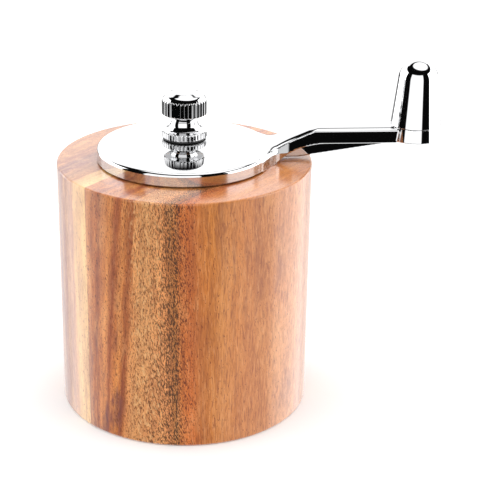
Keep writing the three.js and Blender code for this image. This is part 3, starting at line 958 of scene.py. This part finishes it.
    # pale flecks between the pores where the grain rises
    fleck = field(slanted, (2.1, 1.8, 0.5), (7, 5, 1), 1, 0.5, 0.3)
    band = n.math("MULTIPLY", n.remap(u, 7, 10, 0, 1, True), n.remap(u, 16.5, 19, 1, 0, True))
    col = n.mix(n.math("MULTIPLY", n.remap(fleck, 0.54, 0.66, 0, 0.6), band), col, srgb(232, 180, 120))
    n.link(col, bsdf.inputs["Base Color"])
    bsdf.inputs["Coat Weight"].default_value = 1.0
    bsdf.inputs["Coat Roughness"].default_value = 0.2
    bsdf.inputs["Coat IOR"].default_value = 1.5
    bsdf.inputs["Specular IOR Level"].default_value = 0.3
    n.link(n.remap(fibre, 0.3, 0.7, 0.42, 0.56), bsdf.inputs["Roughness"])
    height = n.math("SUBTRACT", n.math("MULTIPLY", fibre, 0.3), pore)
    n.link(n.bump(height, 0.22, 0.0001), bsdf.inputs["Normal"])
    return m


MATERIALS = {
    "chrome": chrome_material(),
    "wood": wood_material(),
    "burr_steel": metal("burr_steel", (0.36, 0.37, 0.38), 0.36, 0.06, 700, bump=0.2, bump_scale=3000),
    "cast_zinc": metal("cast_zinc", (0.55, 0.56, 0.57), 0.42, 0.06, 500, bump=0.35, bump_scale=1800),
    "plated_steel": metal("zinc_plated_steel", (0.66, 0.67, 0.69), 0.24, 0.05, 600, bump=0.05),
    "spring_steel": metal("spring_steel", (0.48, 0.49, 0.5), 0.28, 0.05, 900, grain=(1, 1, 4)),
    "bronze": metal("sintered_bronze", (0.55, 0.36, 0.16), 0.42, 0.07, 1200, bump=0.3, bump_scale=4200),
    "black_nylon": plastic("black_nylon", (0.018, 0.018, 0.019), 0.5),
    "white_nylon": plastic("white_nylon", (0.78, 0.76, 0.7), 0.45),
}

for node, (ob, rides_on, slot) in RIDES.items():
    ob.data.materials.clear()
    ob.data.materials.append(MATERIALS[slot])
    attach(ob, rides_on)
    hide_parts(node)


# --------------------------------------------------------- floor and lights
floor_me = bpy.data.meshes.new("floor")
F = [(-0.9, -0.13, 0), (0.9, -0.13, 0), (0.9, 0.9, 0), (-0.9, 0.9, 0)]
floor_me.from_pydata([(x, y, -0.0001) for x, y, _ in F], [], [[0, 1, 2, 3]])
floor = bpy.data.objects.new("floor", floor_me)
bpy.context.scene.collection.objects.link(floor)
fm, fnt, fb = tree("floor_white")
fb.inputs["Base Color"].default_value = (0.9, 0.9, 0.9, 1)
fb.inputs["Roughness"].default_value = 0.7
fb.inputs["Specular IOR Level"].default_value = 0.1
floor_me.materials.append(fm)

world = bpy.data.worlds.new("studio")
bpy.context.scene.world = world
world.use_nodes = True
wn = world.node_tree
wn.nodes.clear()
w = Net(wn)
gen = w.add("ShaderNodeTexCoord").outputs["Generated"]
ws = w.add("ShaderNodeSeparateXYZ")
w.link(gen, ws.inputs[0])
wx, wy, wz = ws.outputs
el = w.math("ARCSINE", wz)  # radians above the horizon
az = w.math("ARCTAN2", wx, w.math("MULTIPLY", wy, -1.0))  # 0 towards the front, positive to the right
deg = math.pi / 180


def window(v, a, b, soft):
    """1 between a and b degrees, 0 outside, with a soft edge."""
    up_ = w.remap(v, (a - soft) * deg, (a + soft) * deg, 0, 1, True)
    dn = w.remap(v, (b - soft) * deg, (b + soft) * deg, 1, 0, True)
    return w.math("MULTIPLY", up_, dn)


def panel(az0, az1, el0, el1, power, soft=2):
    return w.math("MULTIPLY", w.math("MULTIPLY", window(az, az0, az1, soft), window(el, el0, el1, soft)), power)


def disc_light(direction, angle, power, soft=2.5):
    d = Vector(direction).normalized()
    dot = w.math("ADD", w.math("ADD", w.math("MULTIPLY", wx, d.x), w.math("MULTIPLY", wy, d.y)), w.math("MULTIPLY", wz, d.z))
    return w.math("MULTIPLY", w.remap(dot, math.cos((angle + soft) * deg), math.cos((angle - soft) * deg), 0, 1, True), power)


SEEN = [
    panel(-54, 19, -14, 37, 1.75),  # the front card
    panel(-143, -88, -15, 34, 3.6),  # left side
    panel(56, 140, -15, 35, 3.6),  # right side
    panel(138, 200, -3.5, 43, 1.75),  # behind
    panel(-200, -141, -3.5, 43, 1.75),
    panel(-134, -98, -60, -15, 2.8, 6),  # below the horizon
    panel(-200, -132, -60, -15, 1.2, 6),
    panel(85, 142, -60, -15, 2.5, 6),
    panel(140, 200, -60, -15, 1.25, 6),
    panel(30, 84, -60, -16, 1.0, 3),
    panel(-96, -78, -60, -16, 1.0, 3),
    panel(-200, 200, -120, -44, 1.5),
    disc_light((0.14, 0.15, 0.979), 31, 1.9),  # softbox overhead
]
total = SEEN[0]
for s_ in SEEN[1:]:
    total = w.math("MAXIMUM", total, s_)
total = w.math("MAXIMUM", total, 0.004)
lp = w.add("ShaderNodeLightPath")


def background(strength):
    b = w.add("ShaderNodeBackground")
    b.inputs["Color"].default_value = (1, 1, 1, 1)
    if isinstance(strength, (int, float)):
        b.inputs["Strength"].default_value = strength
    else:
        w.link(strength, b.inputs["Strength"])
    return b.outputs[0]


# soft light for the matt surfaces: brighter from the sides than from the front
side_light = w.math("ADD", window(az, -150, -58, 18), window(az, 52, 150, 18))
soft_level = w.math("ADD", 0.82, w.math("MULTIPLY", side_light, 1.0))
soft_level = w.math("ADD", soft_level, w.math("MULTIPLY", window(el, 50, 120, 15), 0.6))
soft_level = w.math("MULTIPLY", soft_level, w.remap(el, -0.3, 0.1, 0.75, 1.0))
mix_a = w.add("ShaderNodeMixShader")
w.link(lp.outputs["Is Glossy Ray"], mix_a.inputs[0])
w.link(background(soft_level), mix_a.inputs[1])
w.link(background(total), mix_a.inputs[2])
mix_b = w.add("ShaderNodeMixShader")
w.link(lp.outputs["Is Camera Ray"], mix_b.inputs[0])
w.link(mix_a.outputs[0], mix_b.inputs[1])
w.link(background(1.0), mix_b.inputs[2])
out = w.add("ShaderNodeOutputWorld")
w.link(mix_b.outputs[0], out.inputs["Surface"])
floor.visible_glossy = False


# -------------------------------------------------------------- camera
cam_data = bpy.data.cameras.new("camera")
cam = bpy.data.objects.new("camera", cam_data)
bpy.context.scene.collection.objects.link(cam)
turn = math.radians(1.7)
dist = 0.43393
cam.location = (AX - dist * math.sin(turn), -dist * math.cos(turn), 0.23183)
cam.rotation_euler = (math.radians(90 - 22.829), 0, -turn)
cam_data.sensor_width = 36
cam_data.lens = 105.08
cam_data.shift_x = 0.1313
cam_data.clip_start = 0.01
bpy.context.scene.camera = cam
bpy.context.scene.view_settings.view_transform = "Standard"
bpy.context.scene.view_settings.look = "None"
